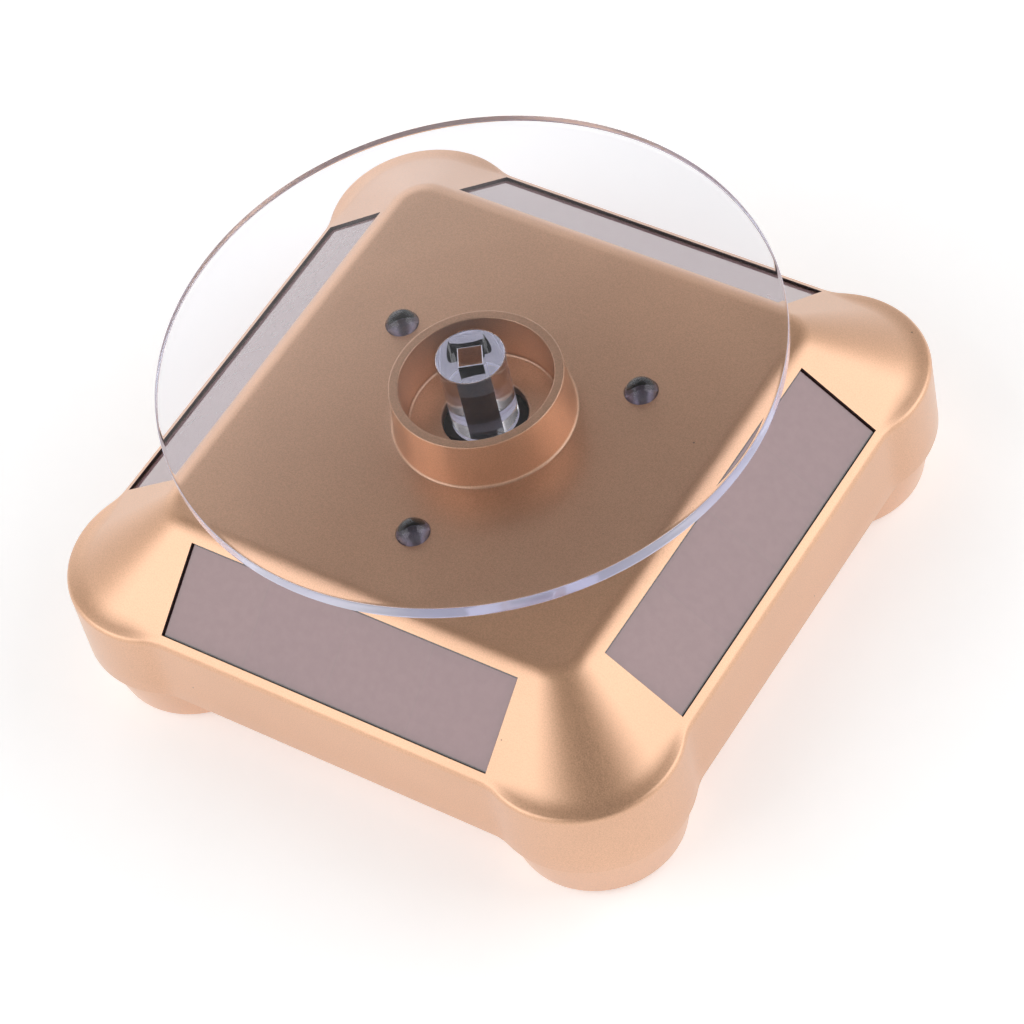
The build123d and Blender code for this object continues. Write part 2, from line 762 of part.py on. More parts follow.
# ---------------------------------------------------------------- board and switch
board_z = base_top + board_standoff
with BuildPart() as board:
    with Locations((board_centre_x, 0, board_z)):
        Box(board_width, board_length, board_thickness, align=STAND)
    rods(standoff_places, 0, plateau_z, small_screw_radius + bearing_gap, Mode.SUBTRACT)
finish(board, "circuit_board")

with BuildPart() as capacitor:
    rods(
        [(board_centre_x, board_screw_offset / 2)],
        board_z + board_thickness,
        capacitor_height,
        capacitor_radius,
    )
    fillet(capacitor.edges(), radius=0.4)
finish(capacitor, "capacitor")

with BuildPart() as board_screws:
    rods(standoff_places, board_z + board_thickness, small_head_height, small_head_radius)
    rods(standoff_places, base_top + 1, board_standoff - 1 + board_thickness, small_screw_radius)
finish(board_screws, "board_screws")

carrier_width = switch_width - 2 * (switch_shell + knob_gap)
carrier_length = switch_length - 2 * (switch_shell + knob_gap) - switch_travel
knob_y = -switch_travel / 2
with BuildPart() as switch_body:
    with Locations((switch_x, 0, base_top)):
        Box(switch_width, switch_length, switch_height, align=STAND)
        Box(
            switch_width - 2 * switch_shell,
            switch_length - 2 * switch_shell,
            carrier_height + 2 * knob_gap,
            align=STAND,
            mode=Mode.SUBTRACT,
        )
finish(switch_body, "switch_body")

with BuildPart() as switch_knob:
    with Locations((switch_x, knob_y, base_top + knob_gap)):
        Box(carrier_width, carrier_length, carrier_height, align=STAND)
    with Locations((switch_x, knob_y, foot_height - knob_proud)):
        Box(knob_width, knob_length, knob_proud + base_thickness + 2 * knob_gap, align=STAND)
finish(switch_knob, "switch_knob")
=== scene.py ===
import bmesh
import bpy
import math
import numpy as np
from mathutils import Matrix, Vector


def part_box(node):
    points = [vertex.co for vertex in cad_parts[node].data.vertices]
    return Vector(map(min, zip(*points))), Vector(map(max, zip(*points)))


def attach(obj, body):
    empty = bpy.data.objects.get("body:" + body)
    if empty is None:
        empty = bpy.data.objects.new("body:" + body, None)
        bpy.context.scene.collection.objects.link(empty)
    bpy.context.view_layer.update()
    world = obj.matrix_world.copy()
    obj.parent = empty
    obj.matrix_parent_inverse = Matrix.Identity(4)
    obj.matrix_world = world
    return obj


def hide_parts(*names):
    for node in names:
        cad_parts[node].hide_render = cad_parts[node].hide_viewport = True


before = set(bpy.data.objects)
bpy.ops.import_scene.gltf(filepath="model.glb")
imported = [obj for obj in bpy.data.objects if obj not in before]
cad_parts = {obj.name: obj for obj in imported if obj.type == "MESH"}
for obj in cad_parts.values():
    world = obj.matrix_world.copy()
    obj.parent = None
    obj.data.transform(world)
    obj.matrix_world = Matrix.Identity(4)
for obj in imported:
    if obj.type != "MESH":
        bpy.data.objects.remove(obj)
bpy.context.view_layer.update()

# %% [markdown]
# # A solar turntable display stand
# A moulded body in satin copper paint carries four solar panels and three lamps, and a clear disc
# turns on a spindle in its middle. The working frame is already there: every CAD part sits in its
# place, in metres. This lesson dresses it. Parts whose look depends on soft rounding or on clear
# material get new surfaces, worked out as grids of points, and all other parts keep their mesh and
# get a finish. Lengths below are in millimetres until a mesh is made.

# %% Sizes read from the frame
mm = 0.001


def box_mm(node):
    """Lowest and highest corner of a CAD part, in millimetres."""
    low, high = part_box(node)
    return np.array(low) / mm, np.array(high) / mm


shell_low, shell_high = box_mm("top_shell")
lamps_low, lamps_high = box_mm("lamps")
disc_low, disc_high = box_mm("turntable_disc")
stem_low, stem_high = box_mm("disc_stem")
foot_low, foot_high = box_mm("foot_front_right")
pad_low, pad_high = box_mm("pad_front_right")
panel_low, panel_high = box_mm("solar_panel_front")

wall_bottom = shell_low[2]
collar_top = shell_high[2]
lamp_proud = 2.0
plateau_z = lamps_high[2] - lamp_proud
lobe_radius = 15.5
lobe_centre = shell_high[0] - lobe_radius
lobe_overhang = 1.55
body_half = shell_high[0] - lobe_overhang
slope = math.radians(37.2)
slope_run = 14.6
plateau_half = body_half - slope_run
plateau_corner = 5.0
rim_z = plateau_z - slope_run * math.tan(slope)
print(f"body {2 * body_half:.1f} mm square, plateau at {plateau_z:.1f} mm, rim at {rim_z:.1f} mm")

# %% [markdown]
# ## Meshes from arrays
# A lathe-turned or moulded surface is a grid: rows along the profile, columns round the part.
# Working out the whole grid as one numpy array is quick, and the same few lines then make the
# faces of any piece. A row that has shrunk to the axis is closed by a single pole point.


# %% Grid helpers
def quads(rows, columns, close_rows=False):
    """Corner numbers of all cells of a grid whose last column joins its first.

    Cell (i, j) has corners (i, j), (i, j+1), (i+1, j+1), (i+1, j), counted along the rows. The
    last row joins the first too if close_rows is set.
    """
    i = np.arange(rows if close_rows else rows - 1)[:, None]
    j = np.arange(columns)[None, :]
    below, beside = (i + 1) % rows, (j + 1) % columns
    corners = [i * columns + j, i * columns + beside, below * columns + beside, below * columns + j]
    return np.stack([np.broadcast_to(c, (len(i), columns)) for c in corners], axis=-1).reshape(-1, 4)


def fan(pole, ring, columns):
    """Triangles from a pole point to a ring of points, the first of which has the number ring."""
    j = np.arange(columns)
    return np.stack([np.full(columns, pole), ring + j, ring + (j + 1) % columns], axis=-1).tolist()


def make_piece(name, points, faces, uv=None):
    """A new object at the origin from points in millimetres, with its faces turned outwards."""
    mesh = bpy.data.meshes.new(name)
    mesh.from_pydata((np.asarray(points) * mm).tolist(), [], [tuple(f) for f in faces])
    shape = bmesh.new()
    shape.from_mesh(mesh)
    bmesh.ops.recalc_face_normals(shape, faces=shape.faces)
    shape.to_mesh(mesh)
    shape.free()
    if uv is not None:
        corner_points = np.empty(len(mesh.loops), dtype=np.int32)
        mesh.loops.foreach_get("vertex_index", corner_points)
        mesh.uv_layers.new(name="surface").data.foreach_set("uv", uv[corner_points].ravel())
    piece = bpy.data.objects.new(name, mesh)
    bpy.context.scene.collection.objects.link(piece)
    return piece


def shade(piece, sharp_angle=35):
    """Smooth shading that breaks at edges sharper than the angle, in degrees."""
    piece.data.shade_smooth()
    piece.data.set_sharp_from_angle(angle=math.radians(sharp_angle))


def dress(piece, body, slot, material, *nodes):
    """Finish a new piece: shading, material, the body it rides on, what it replaces. The slot is not used."""
    shade(piece)
    piece.data.materials.clear()
    piece.data.materials.append(material)
    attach(piece, body)
    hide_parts(*nodes)
    print(f"{piece.name}: {len(piece.data.vertices)} points, replaces {', '.join(nodes)}")


# %% [markdown]
# ## Rounded profiles
# Every moulded edge has a small radius, and that radius is what catches the light. A profile is
# drawn with sharp corners first, which is easy to read, and then each corner is replaced by an arc.
# A rational quadratic curve through the corner gives a true circle for any angle, even for none.


# %% Corner rounding
def bend(before, corner, after, length, steps):
    """Arc that replaces a corner, for many columns at once.

    It starts and ends at the given length from the corner, on the lines to before and after. With
    w the cosine of half the turn, a point is ((1-s)^2 P0 + 2s(1-s) w Q + s^2 P2) divided by the
    sum of those three weights, which is a circular arc from P0 to P2 for s from 0 to 1.
    """
    length = np.broadcast_to(length, corner.shape[:-1])[..., None]
    back = before - corner
    back = back / np.linalg.norm(back, axis=-1, keepdims=True)
    ahead = after - corner
    ahead = ahead / np.linalg.norm(ahead, axis=-1, keepdims=True)
    start, end = corner + back * length, corner + ahead * length
    half_turn = np.arccos(np.clip(-(back * ahead).sum(axis=-1, keepdims=True), -1, 1)) / 2
    weight = np.cos(half_turn)
    rows = []
    for s in np.linspace(0, 1, steps):
        parts = ((1 - s) ** 2, 2 * s * (1 - s) * weight, s**2)
        rows.append((parts[0] * start + parts[1] * corner + parts[2] * end) / sum(parts))
    return np.array(rows)


def rounded(corners, steps=6):
    """Profile with its corners rounded: each corner is (radius, height, tangent length)."""
    flat = np.array([c[:2] for c in corners], dtype=float)
    out = []
    for k, (r, z, length) in enumerate(corners):
        if length and 0 < k < len(corners) - 1:
            out.extend(bend(flat[k - 1], flat[k], flat[k + 1], length, steps))
        else:
            out.append(flat[k])
    return np.array(out)


def turned(name, profile, centres=((0, 0),), columns=96, closed=True):
    """Round piece: the profile (radius, height) carried round an upright axis at each centre.

    A point is (x + r cos a, y + r sin a, z) for the angle a from 0 to a full turn. A closed
    profile makes a ring. An open one starts and ends on the axis, where a pole closes it.
    """
    angle = np.linspace(0, 2 * math.pi, columns, endpoint=False)
    rim = profile if closed else profile[1:-1]
    points, faces, count = [], [], 0
    for x, y in centres:
        radius, height = rim[:, :1], rim[:, 1:]
        grid = np.stack(
            [x + radius * np.cos(angle), y + radius * np.sin(angle), height + 0 * angle], axis=-1
        )
        cells = quads(len(rim), columns, close_rows=closed) + count
        points.append(grid.reshape(-1, 3))
        faces.extend(cells.tolist())
        count += grid.shape[0] * columns
        if not closed:
            points.append(np.array([(x, y, profile[0, 1]), (x, y, profile[-1, 1])]))
            faces.extend(fan(count, count - grid.shape[0] * columns, columns))
            faces.extend(fan(count + 1, count - columns, columns))
            count += 2
    return make_piece(name, np.concatenate(points), faces)


# %% [markdown]
# ## Finishes
# Each finish is a small node tree on one Principled shader. Patterns read Object coordinates, so
# they stay put on the part and have a true size: a noise of scale 1000 has grains of about 1 mm.
# Numbers that are the same all over are set on the shader itself.


# %% Material helpers
def fill(node, values):
    """Set a node's inputs from a dictionary of socket name or number to value."""
    for key, value in values.items():
        node.inputs[key].default_value = value
    return node


class Finish:
    """A material with one shader, and short calls to add the nodes that feed it."""

    def __init__(self, name, **shader_values):
        self.material = bpy.data.materials.new(name)
        self.material.use_nodes = True
        self.tree = self.material.node_tree
        self.shader = self.tree.nodes["Principled BSDF"]
        fill(self.shader, {key.replace("_", " "): value for key, value in shader_values.items()})
        self.place = self.tree.nodes.new("ShaderNodeTexCoord").outputs["Object"]

    def join(self, output, target):
        self.tree.links.new(output, target)

    def noise(self, scale, detail=2.0, roughness=0.5, source=None):
        """Soft random pattern, about 0 to 1."""
        node = fill(
            self.tree.nodes.new("ShaderNodeTexNoise"),
            {"Scale": scale, "Detail": detail, "Roughness": roughness},
        )
        self.join(source or self.place, node.inputs["Vector"])
        return node.outputs["Fac"]

    def ramp(self, factor, stops):
        """Colour from a factor: stops are (position, colour)."""
        node = self.tree.nodes.new("ShaderNodeValToRGB")
        marks = node.color_ramp.elements
        for k, (position, colour) in enumerate(stops):
            mark = marks[k] if k < len(marks) else marks.new(position)
            mark.position = position
            mark.color = (*colour, 1) if len(colour) == 3 else colour
        self.join(factor, node.inputs["Fac"])
        return node.outputs["Color"]

    def span(self, factor, low, high, start=0.0, end=1.0):
        """Number that runs from low to high as the factor goes from start to end."""
        node = self.tree.nodes.new("ShaderNodeMapRange")
        fill(node, {"From Min": start, "From Max": end, "To Min": low, "To Max": high})
        self.join(factor, node.inputs["Value"])
        return node.outputs["Result"]

    def math(self, operation, first, second=0.0, third=0.0):
        """One step of arithmetic on outputs or plain numbers."""
        node = self.tree.nodes.new("ShaderNodeMath")
        node.operation = operation
        for k, value in enumerate((first, second, third)):
            if isinstance(value, (int, float)):
                node.inputs[k].default_value = value
            else:
                self.join(value, node.inputs[k])
        return node.outputs[0]

    def mix(self, factor, first, second):
        """Blend of two colours, given as outputs or as plain colours."""
        node = self.tree.nodes.new("ShaderNodeMix")
        node.data_type = "RGBA"
        self.join(factor, node.inputs["Factor"])
        for socket, value in ((node.inputs[6], first), (node.inputs[7], second)):
            if isinstance(value, tuple):
                socket.default_value = (*value, 1)
            else:
                self.join(value, socket)
        return node.outputs[2]

    def times(self, first, second):
        """Product of two colour outputs."""
        node = self.tree.nodes.new("ShaderNodeMix")
        node.data_type = "RGBA"
        node.blend_type = "MULTIPLY"
        fill(node, {"Factor": 1.0})
        self.join(first, node.inputs[6])
        self.join(second, node.inputs[7])
        return node.outputs[2]

    def bump(self, height, depth_mm, strength=1.0):
        """Surface relief of the given depth from a 0 to 1 height."""
        node = fill(
            self.tree.nodes.new("ShaderNodeBump"), {"Strength": strength, "Distance": depth_mm * mm}
        )
        self.join(height, node.inputs["Height"])
        self.join(node.outputs["Normal"], self.shader.inputs["Normal"])

    def colour(self, output):
        self.join(output, self.shader.inputs["Base Color"])

    def roughness(self, output):
        self.join(output, self.shader.inputs["Roughness"])


# %% [markdown]
# ## Copper paint
# The body is sprayed with a satin metallic paint: tiny bright flakes in a clear binder. A metal
# with a broad highlight gives the flakes, and a clear coat over it gives the whiter sheen on the
# slopes. Fine noise makes single flakes lighter and darker, a much larger noise makes the slight
# unevenness of spraying, and a few dark specks are dust in the paint.


# %% Copper paint
def copper_paint():
    finish = Finish("copper_paint", Metallic=0.9, Coat_Weight=1.0, Coat_Roughness=0.35, Coat_IOR=1.8)
    flakes = finish.noise(5200, 1.0)
    cloud = finish.noise(45, 3.0)
    base = finish.ramp(
        flakes,
        [(0.3, (0.67, 0.368, 0.205)), (0.5, (0.755, 0.428, 0.246)), (0.7, (0.83, 0.482, 0.288))],
    )
    spray = finish.ramp(cloud, [(0.35, (0.94, 0.93, 0.92)), (0.65, (1.0, 1.0, 1.0))])
    cells = fill(finish.tree.nodes.new("ShaderNodeTexVoronoi"), {"Scale": 150})
    finish.join(finish.place, cells.inputs["Vector"])
    near = finish.span(cells.outputs["Distance"], 1.0, 0.0, 0.016, 0.03)
    chance = finish.span(finish.noise(95, 1.0), 0.0, 1.0, 0.6, 0.63)
    dust = finish.math("MULTIPLY", near, chance)
    finish.colour(finish.mix(dust, finish.times(base, spray), (0.2, 0.11, 0.06)))
    finish.roughness(finish.span(flakes, 0.4, 0.52, 0.3, 0.7))
    finish.bump(flakes, 0.012, 0.15)
    return finish.material


copper = copper_paint()
print("made", copper.name)

# %% [markdown]
# ## Plastics, rubber and metals
# The hidden and lower parts are moulded plastic, rubber, plated steel and brass. They share one
# recipe: two tones mixed by a fine grain, a roughness that varies a little, and a shallow relief,
# such as the spark-eroded texture of a moulding tool. Only the numbers differ.


# %% Grained finishes
def grained(name, dark, light, grain, depth, rough, metallic=0.0, stretch=None, **more):
    """Two-tone finish with a grain of the given size in mm and a relief of the given depth."""
    finish = Finish(name, Metallic=metallic, **more)
    source = finish.place
    if stretch:
        mapping = fill(finish.tree.nodes.new("ShaderNodeMapping"), {"Scale": stretch})
        finish.join(finish.place, mapping.inputs["Vector"])
        source = mapping.outputs["Vector"]
    fine = finish.noise(1000 / grain, 3.0, 0.6, source)
    wear = finish.noise(90, 2.0)
    both = finish.math("MULTIPLY_ADD", wear, 0.35, finish.math("MULTIPLY", fine, 0.65))
    finish.colour(finish.ramp(both, [(0.35, dark), (0.65, light)]))
    finish.roughness(finish.span(both, rough[0], rough[1], 0.35, 0.65))
    finish.bump(fine, depth, 0.5)
    return finish.material


dark_plastic = grained("dark_plastic", (0.022, 0.023, 0.027), (0.045, 0.046, 0.052), 0.35, 0.012, (0.38, 0.5))
frame_plastic = grained("frame_plastic", (0.012, 0.012, 0.013), (0.03, 0.03, 0.032), 0.5, 0.02, (0.4, 0.55))
spindle_plastic = grained("spindle_plastic", (0.05, 0.052, 0.06), (0.085, 0.088, 0.1), 0.4, 0.01, (0.3, 0.42))
# Dark finish for the walls of the windows.
dark_window_wall = grained("dark_window_wall", (0.03, 0.017, 0.017), (0.06, 0.035, 0.036), 0.3, 0.01, (0.3, 0.45))
pad_rubber = grained("pad_rubber", (0.018, 0.018, 0.019), (0.04, 0.04, 0.041), 0.6, 0.05, (0.7, 0.85))
gear_plastic = grained(
    "gear_plastic", (0.72, 0.7, 0.62), (0.82, 0.81, 0.75), 1.2, 0.006, (0.32, 0.45),
    Subsurface_Weight=0.15, Subsurface_Scale=0.0008,
)
brass = grained("brass", (0.62, 0.42, 0.16), (0.78, 0.58, 0.27), 0.25, 0.006, (0.22, 0.36), 1.0, (1, 1, 8))
steel = grained("steel", (0.5, 0.5, 0.51), (0.68, 0.68, 0.69), 0.4, 0.006, (0.2, 0.36), 1.0, (1, 1, 5))
motor_iron = grained(
    "motor_iron", (0.1, 0.09, 0.085), (0.24, 0.2, 0.17), 0.5, 0.02, (0.45, 0.6), 0.8, (1, 1, 6)
)
print("made", len(bpy.data.materials), "materials so far")

# %% [markdown]
# ## The body shell
# The shell is the piece that sets the look: a plateau, four slopes with windows, round lobes at the
# corners and a collar in the middle. Boxes and cylinders with a bevel would show their seams in the
# satin paint. So the outside is one grid. Each column starts at the well hole, climbs the collar,
# crosses the plateau, runs down a slope and over the rim, and ends at the foot of the wall. On the
# sides a column is square to the wall. At a corner the columns fan out from the plateau's small
# corner to the lobe, so slope and lobe meet without a crease. The lobes end in a flatter brim.

# %% Plan of the shell's columns
window_length = panel_high[0] - panel_low[0] - 2.0  # the panel reaches 1 mm under each end
window_half = window_length / 2
window_top = 2.1
window_bottom = window_top + 14.5
neck_radius = 8.0
brim_rise = 0.9
brim_drop = 0.8
corner_centre = plateau_half - plateau_corner
brim_half = body_half - brim_rise / math.tan(slope)
brim_radius = brim_half - lobe_centre
neck_y = body_half + neck_radius
neck_x = lobe_centre - math.sqrt((lobe_radius + neck_radius) ** 2 - (neck_y - lobe_centre) ** 2)
touch_x = lobe_centre - (lobe_centre - neck_x) * lobe_radius / (lobe_radius + neck_radius)


def wall_reach(x):
    """Distance from the middle to the wall at x: the flat side, then the hollow neck, then the lobe."""
    neck = neck_y - np.sqrt(np.maximum(neck_radius**2 - np.maximum(x - neck_x, 0) ** 2, 0))
    lobe = lobe_centre + np.sqrt(np.maximum(lobe_radius**2 - (x - lobe_centre) ** 2, 0))
    return np.where(x < touch_x, neck, lobe)


def ease(s):
    """Smooth step from 0 to 1."""
    s = np.clip(s, 0, 1)
    return s * s * (3 - 2 * s)


def quarter_columns():
    """Front side and front right corner: plateau edge, brim line, wall top and inward direction.

    Side columns keep their x. From the window's end to the lobe's axis the plateau end moves
    slower than the brim end. Round the lobe both ends lie at the same angle about their own
    centres, which makes the surface between them a slanting cone. The rest is the mirror image
    across the diagonal.
    """
    side = np.linspace(-window_half, window_half, 58)
    reach = np.linspace(window_half, lobe_centre, 12)[1:]
    inner = window_half + (reach - window_half) * (corner_centre - window_half) / (
        lobe_centre - window_half
    )
    edge_x, brim_x = np.concatenate([side, inner]), np.concatenate([side, reach])
    wall_y = wall_reach(np.abs(brim_x))
    count = len(edge_x)
    edge = np.stack([edge_x, np.full(count, -plateau_half), np.full(count, plateau_z)], axis=-1)
    brim = np.stack([brim_x, np.full(count, -brim_half), np.full(count, rim_z + brim_rise)], axis=-1)
    lift = (brim_rise - brim_drop) * ease((np.abs(brim_x) - neck_x) / (lobe_centre - neck_x))
    wall = np.stack([brim_x, -wall_y, rim_z + lift], axis=-1)
    inward = np.tile([0.0, 1.0, 0.0], (count, 1))

    angle = np.radians(np.linspace(-90, 0, 41))[1:]
    ray = np.stack([np.cos(angle), np.sin(angle), 0 * angle], axis=-1)
    diagonal = np.array([1.0, -1.0, 0.0])
    up = np.array([0.0, 0.0, 1.0])
    edge_arc = diagonal * corner_centre + ray * plateau_corner + up * plateau_z
    brim_arc = diagonal * lobe_centre + ray * brim_radius + up * (rim_z + brim_rise)
    wall_arc = diagonal * lobe_centre + ray * lobe_radius + up * (rim_z + brim_rise - brim_drop)

    def mirrored(rows):
        back = rows[len(side):-1][::-1]
        return np.stack([-back[:, 1], -back[:, 0], back[:, 2]], axis=-1)

    return [
        np.concatenate([first, arc, mirrored(first)])
        for first, arc in ((edge, edge_arc), (brim, brim_arc), (wall, wall_arc), (inward, -ray))
    ], len(side)


def all_round(rows):
    """Four copies of a quarter, each turned a quarter turn further."""
    x, y, z = rows.T
    copies = [(x, y, z), (-y, x, z), (-x, -y, z), (y, -x, z)]
    return np.concatenate([np.stack(c, axis=-1) for c in copies])


(edge, brim, wall_top, inward), side_count = quarter_columns()
quarter_count = len(edge)
edge, brim, wall_top, inward = (all_round(rows) for rows in (edge, brim, wall_top, inward))
print(f"{4 * quarter_count} columns, brim {lobe_radius - brim_radius:.2f} mm wide")

# %% [markdown]
# Rows come next. Sharp corners are listed first, then rounded with bend(): 4.5 mm between plateau
# and slope, a soft hollow where the lobe meets its brim, under 1 mm at the rim, and small radii on
# the collar. The inside of the shell is a second, simpler set of rows. Both sets share the rows
# beside the windows, so a window is made by leaving out cells and joining the two sheets.

# %% Rows of the shell
collar_bore = 11.6
collar_outer_top = 13.05
collar_outer_base = 13.75
well_hole = 6.5
shell_wall = 1.8
slope_wall = 0.48
plateau_edge_length = 4.5 * math.tan(slope / 2)
up = np.array([0.0, 0.0, 1.0])


def lobe_share():
    """0 on the flat sides and 1 round the lobes, with a soft step over the necks."""
    far = np.minimum(np.abs(brim[:, 0]), np.abs(brim[:, 1]))
    return ease((far - neck_x) / (lobe_centre - neck_x))


def ring_rows(profile):
    """Rows of a round profile, with each column at the angle of its place on the plateau edge."""
    angle = np.arctan2(edge[:, 1], edge[:, 0])
    radius, height = profile[:, :1], profile[:, 1:]
    return np.stack([radius * np.cos(angle), radius * np.sin(angle), height + 0 * angle], axis=-1)


def between(first, last, shares):
    """Rows at given shares of the way from one row to another."""
    return np.array([first + (last - first) * s for s in shares])


collar_profile = rounded(
    [
        (well_hole, plateau_z - shell_wall, 0),
        (well_hole, plateau_z, 0.3),
        (collar_bore, plateau_z, 0.5),
        (collar_bore, collar_top - 0.4, 0),
        (collar_bore, collar_top, 0.16),
        (collar_bore + 0.3, collar_top, 0),
        (collar_outer_top - 0.3, collar_top, 0),
        (collar_outer_top, collar_top, 0.16),
        (collar_outer_top + 0.03, collar_top - 0.4, 0),
        (collar_outer_base, plateau_z, 0.45),
        (collar_outer_base + 2.0, plateau_z, 0),
    ]
)
share = lobe_share()
brim_bend = 0.2 + 1.15 * share
rim_bend = 0.75 - 0.1 * share
wall_foot = wall_top * (1, 1, 0) + up * wall_bottom
out_normal = np.cross(np.roll(wall_top, -1, axis=0) - np.roll(wall_top, 1, axis=0), up)
out_normal /= np.linalg.norm(out_normal, axis=-1, keepdims=True)
wall_inner_foot = wall_foot - out_normal * shell_wall

edge_rows = bend(edge + inward, edge, brim, plateau_edge_length, 10)
brim_rows = bend(edge, brim, wall_top, brim_bend, 7)
rim_rows = bend(brim, wall_top, wall_foot, rim_bend, 9)
foot_rows = bend(wall_top, wall_foot, wall_inner_foot, 0.35, 5)
side_run = (slope_run - brim_rise / math.tan(slope)) / math.cos(slope)
brim_gap = 0.2
window_steps = np.linspace(window_top, window_bottom, 13)
slope_shares = (window_steps - plateau_edge_length) / (side_run - brim_gap - plateau_edge_length)
slope_rows = between(edge_rows[-1], brim_rows[0], slope_shares)
collar_rows = ring_rows(collar_profile)
plateau_rows = between(collar_rows[-1], edge_rows[0], np.linspace(0, 1, 9)[1:-1])
wall_rows = between(rim_rows[-1], foot_rows[0], (0.25, 0.5, 0.75))

down_slope = brim - edge
along = np.roll(edge + brim, -1, axis=0) - np.roll(edge + brim, 1, axis=0)
slope_normal = np.cross(down_slope, along)
slope_normal *= np.sign(slope_normal[:, 2:])
slope_normal /= np.linalg.norm(slope_normal, axis=-1, keepdims=True)
under_slope = slope_rows - slope_normal * slope_wall
under_rim = wall_inner_foot * (1, 1, 0) + up * (rim_z - 0.6)
under_edge = edge + inward * 0.9 - up * shell_wall
under_rows = [
    wall_inner_foot,
    *between(wall_inner_foot, under_rim, (0.33, 0.67, 1.0)),
    *under_slope[::-1],
    under_edge,
    *between(under_edge, collar_rows[0], (0.25, 0.5, 0.75)),
]
outer_rows = [
    *collar_rows, *plateau_rows, *edge_rows, *slope_rows, *brim_rows, *rim_rows, *wall_rows,
    *foot_rows,
]
shell_grid = np.array([*outer_rows, *under_rows])
print("shell grid", shell_grid.shape[:2])

# %% [markdown]
# A window is a block of cells that is left out of the outer sheet and of the inner one. A strip of
# faces then joins the two openings, row by row along the ends and column by column along the
# sides. These strips are the walls of the windows, and they get a dark finish. The three lamp holes
# are round and lie in the flat plateau, where a Boolean cut can't disturb the shading.


# %% Shell faces, windows and lamp holes
def shell_faces():
    """Faces of the shell: all cells but the windows, and the strips that join the sheets."""
    rows, columns = shell_grid.shape[:2]
    top = len(collar_rows) + len(plateau_rows) + len(edge_rows)
    steps = len(slope_rows)
    under_top = len(outer_rows) + 4 + steps - 1
    cells = quads(rows, columns, close_rows=True)
    row, column = cells[:, 0] // columns, cells[:, 0] % columns
    on_side = column % quarter_count < side_count - 1
    outer_hole = (row >= top) & (row < top + steps - 1)
    inner_hole = (row <= under_top - 1) & (row > under_top - steps)
    cells = cells[~(on_side & (outer_hole | inner_hole))]

    strips = []
    step = np.arange(steps - 1)
    for quarter in range(4):
        first = quarter * quarter_count
        last = first + side_count - 1
        j = np.arange(first, last)
        for outer, inner in ((top, under_top), (top + steps - 1, under_top - steps + 1)):
            above, below = outer * columns + j, inner * columns + j
            strips.append(np.stack([above, above + 1, below + 1, below], axis=-1))
        for end in (first, last):
            strip = [
                (top + step) * columns + end,
                (top + step + 1) * columns + end,
                (under_top - step - 1) * columns + end,
                (under_top - step) * columns + end,
            ]
            strips.append(np.stack(strip, axis=-1))
    return cells, np.concatenate(strips)


def cut_holes(piece, tool):
    """Subtract the tool from the piece and throw the tool away."""
    cut = piece.modifiers.new("holes", "BOOLEAN")
    cut.object = tool
    cut.solver = "EXACT"
    finished = piece.evaluated_get(bpy.context.evaluated_depsgraph_get())
    piece.data = bpy.data.meshes.new_from_object(finished)
    piece.modifiers.clear()
    bpy.data.objects.remove(tool)


lamp_count = 3
lamp_circle = 23.3
lamp_radius = 2.5
lamp_turns = [math.radians(35 + 360 / lamp_count * k) for k in range(lamp_count)]
lamp_places = [(lamp_circle * math.cos(a), lamp_circle * math.sin(a)) for a in lamp_turns]

cells, strips = shell_faces()
shell = make_piece("painted_shell", shell_grid.reshape(-1, 3), np.concatenate([cells, strips]))
shell.data.materials.append(copper)
# The window walls get the dark finish.
shell.data.materials.append(dark_window_wall)
slot_numbers = np.zeros(len(shell.data.polygons), dtype=np.int32)
slot_numbers[len(cells):] = 1
shell.data.polygons.foreach_set("material_index", slot_numbers)
lamp_hole_radius = lamp_radius + 0.1
hole_low, hole_high = plateau_z - 4, plateau_z + 1
hole_profile = np.array(
    [(0, hole_low), (lamp_hole_radius, hole_low), (lamp_hole_radius, hole_high), (0, hole_high)]
)
hole_tool = turned("lamp_holes", hole_profile, lamp_places, 64, closed=False)
cut_holes(shell, hole_tool)
shade(shell)
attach(shell, "housing")
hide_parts("top_shell")
print(f"{shell.name}: {len(shell.data.polygons)} faces")

# %% [markdown]
# ## Feet and pads
# Four round feet taper inwards to a rounded bottom edge and carry flat rubber pads. Both are turned
# shapes, so a profile and turned() is all they need. Each pad has shallow rings that grip the table.

# %% Feet
corner_names = ["front_left", "front_right", "back_right", "back_left"]
corner_signs = [(-1, -1), (1, -1), (1, 1), (-1, 1)]
foot_top = foot_high[2]
foot_bottom = foot_low[2]
foot_radius = (foot_high[0] - foot_low[0]) / 2
foot_middle = (foot_high[0] + foot_low[0]) / 2
foot_taper = 2.1
foot_bottom_radius = foot_radius - foot_taper
pad_radius = (pad_high[0] - pad_low[0]) / 2
pad_top = pad_high[2]
foot_profile = rounded(
    [
        (1.5, 3.3, 0),
        (2.8, 3.3, 0),
        (2.8, pad_top, 0.1),
        (pad_radius + 0.2, pad_top, 0),
        (pad_radius + 0.2, foot_bottom, 0.12),
        (foot_bottom_radius, foot_bottom, 1.0),
        (foot_radius, foot_top, 0.2),
        (foot_radius - 2.0, foot_top, 0),
        (foot_bottom_radius - 2.0, 3.5, 0.5),
        (4.6, 3.5, 0.4),
        (4.6, foot_top, 0),
        (1.5, foot_top, 0),
    ],
    7,
)
ring_pitch = 1.5
ring_depth = 0.18
groove_start = np.arange(1.2, pad_radius - 1.2, ring_pitch)
groove_points = [
    (r + offset, z)
    for r in groove_start
    for offset, z in ((0, 0), (0.15, ring_depth), (0.45, ring_depth), (0.6, 0))
]
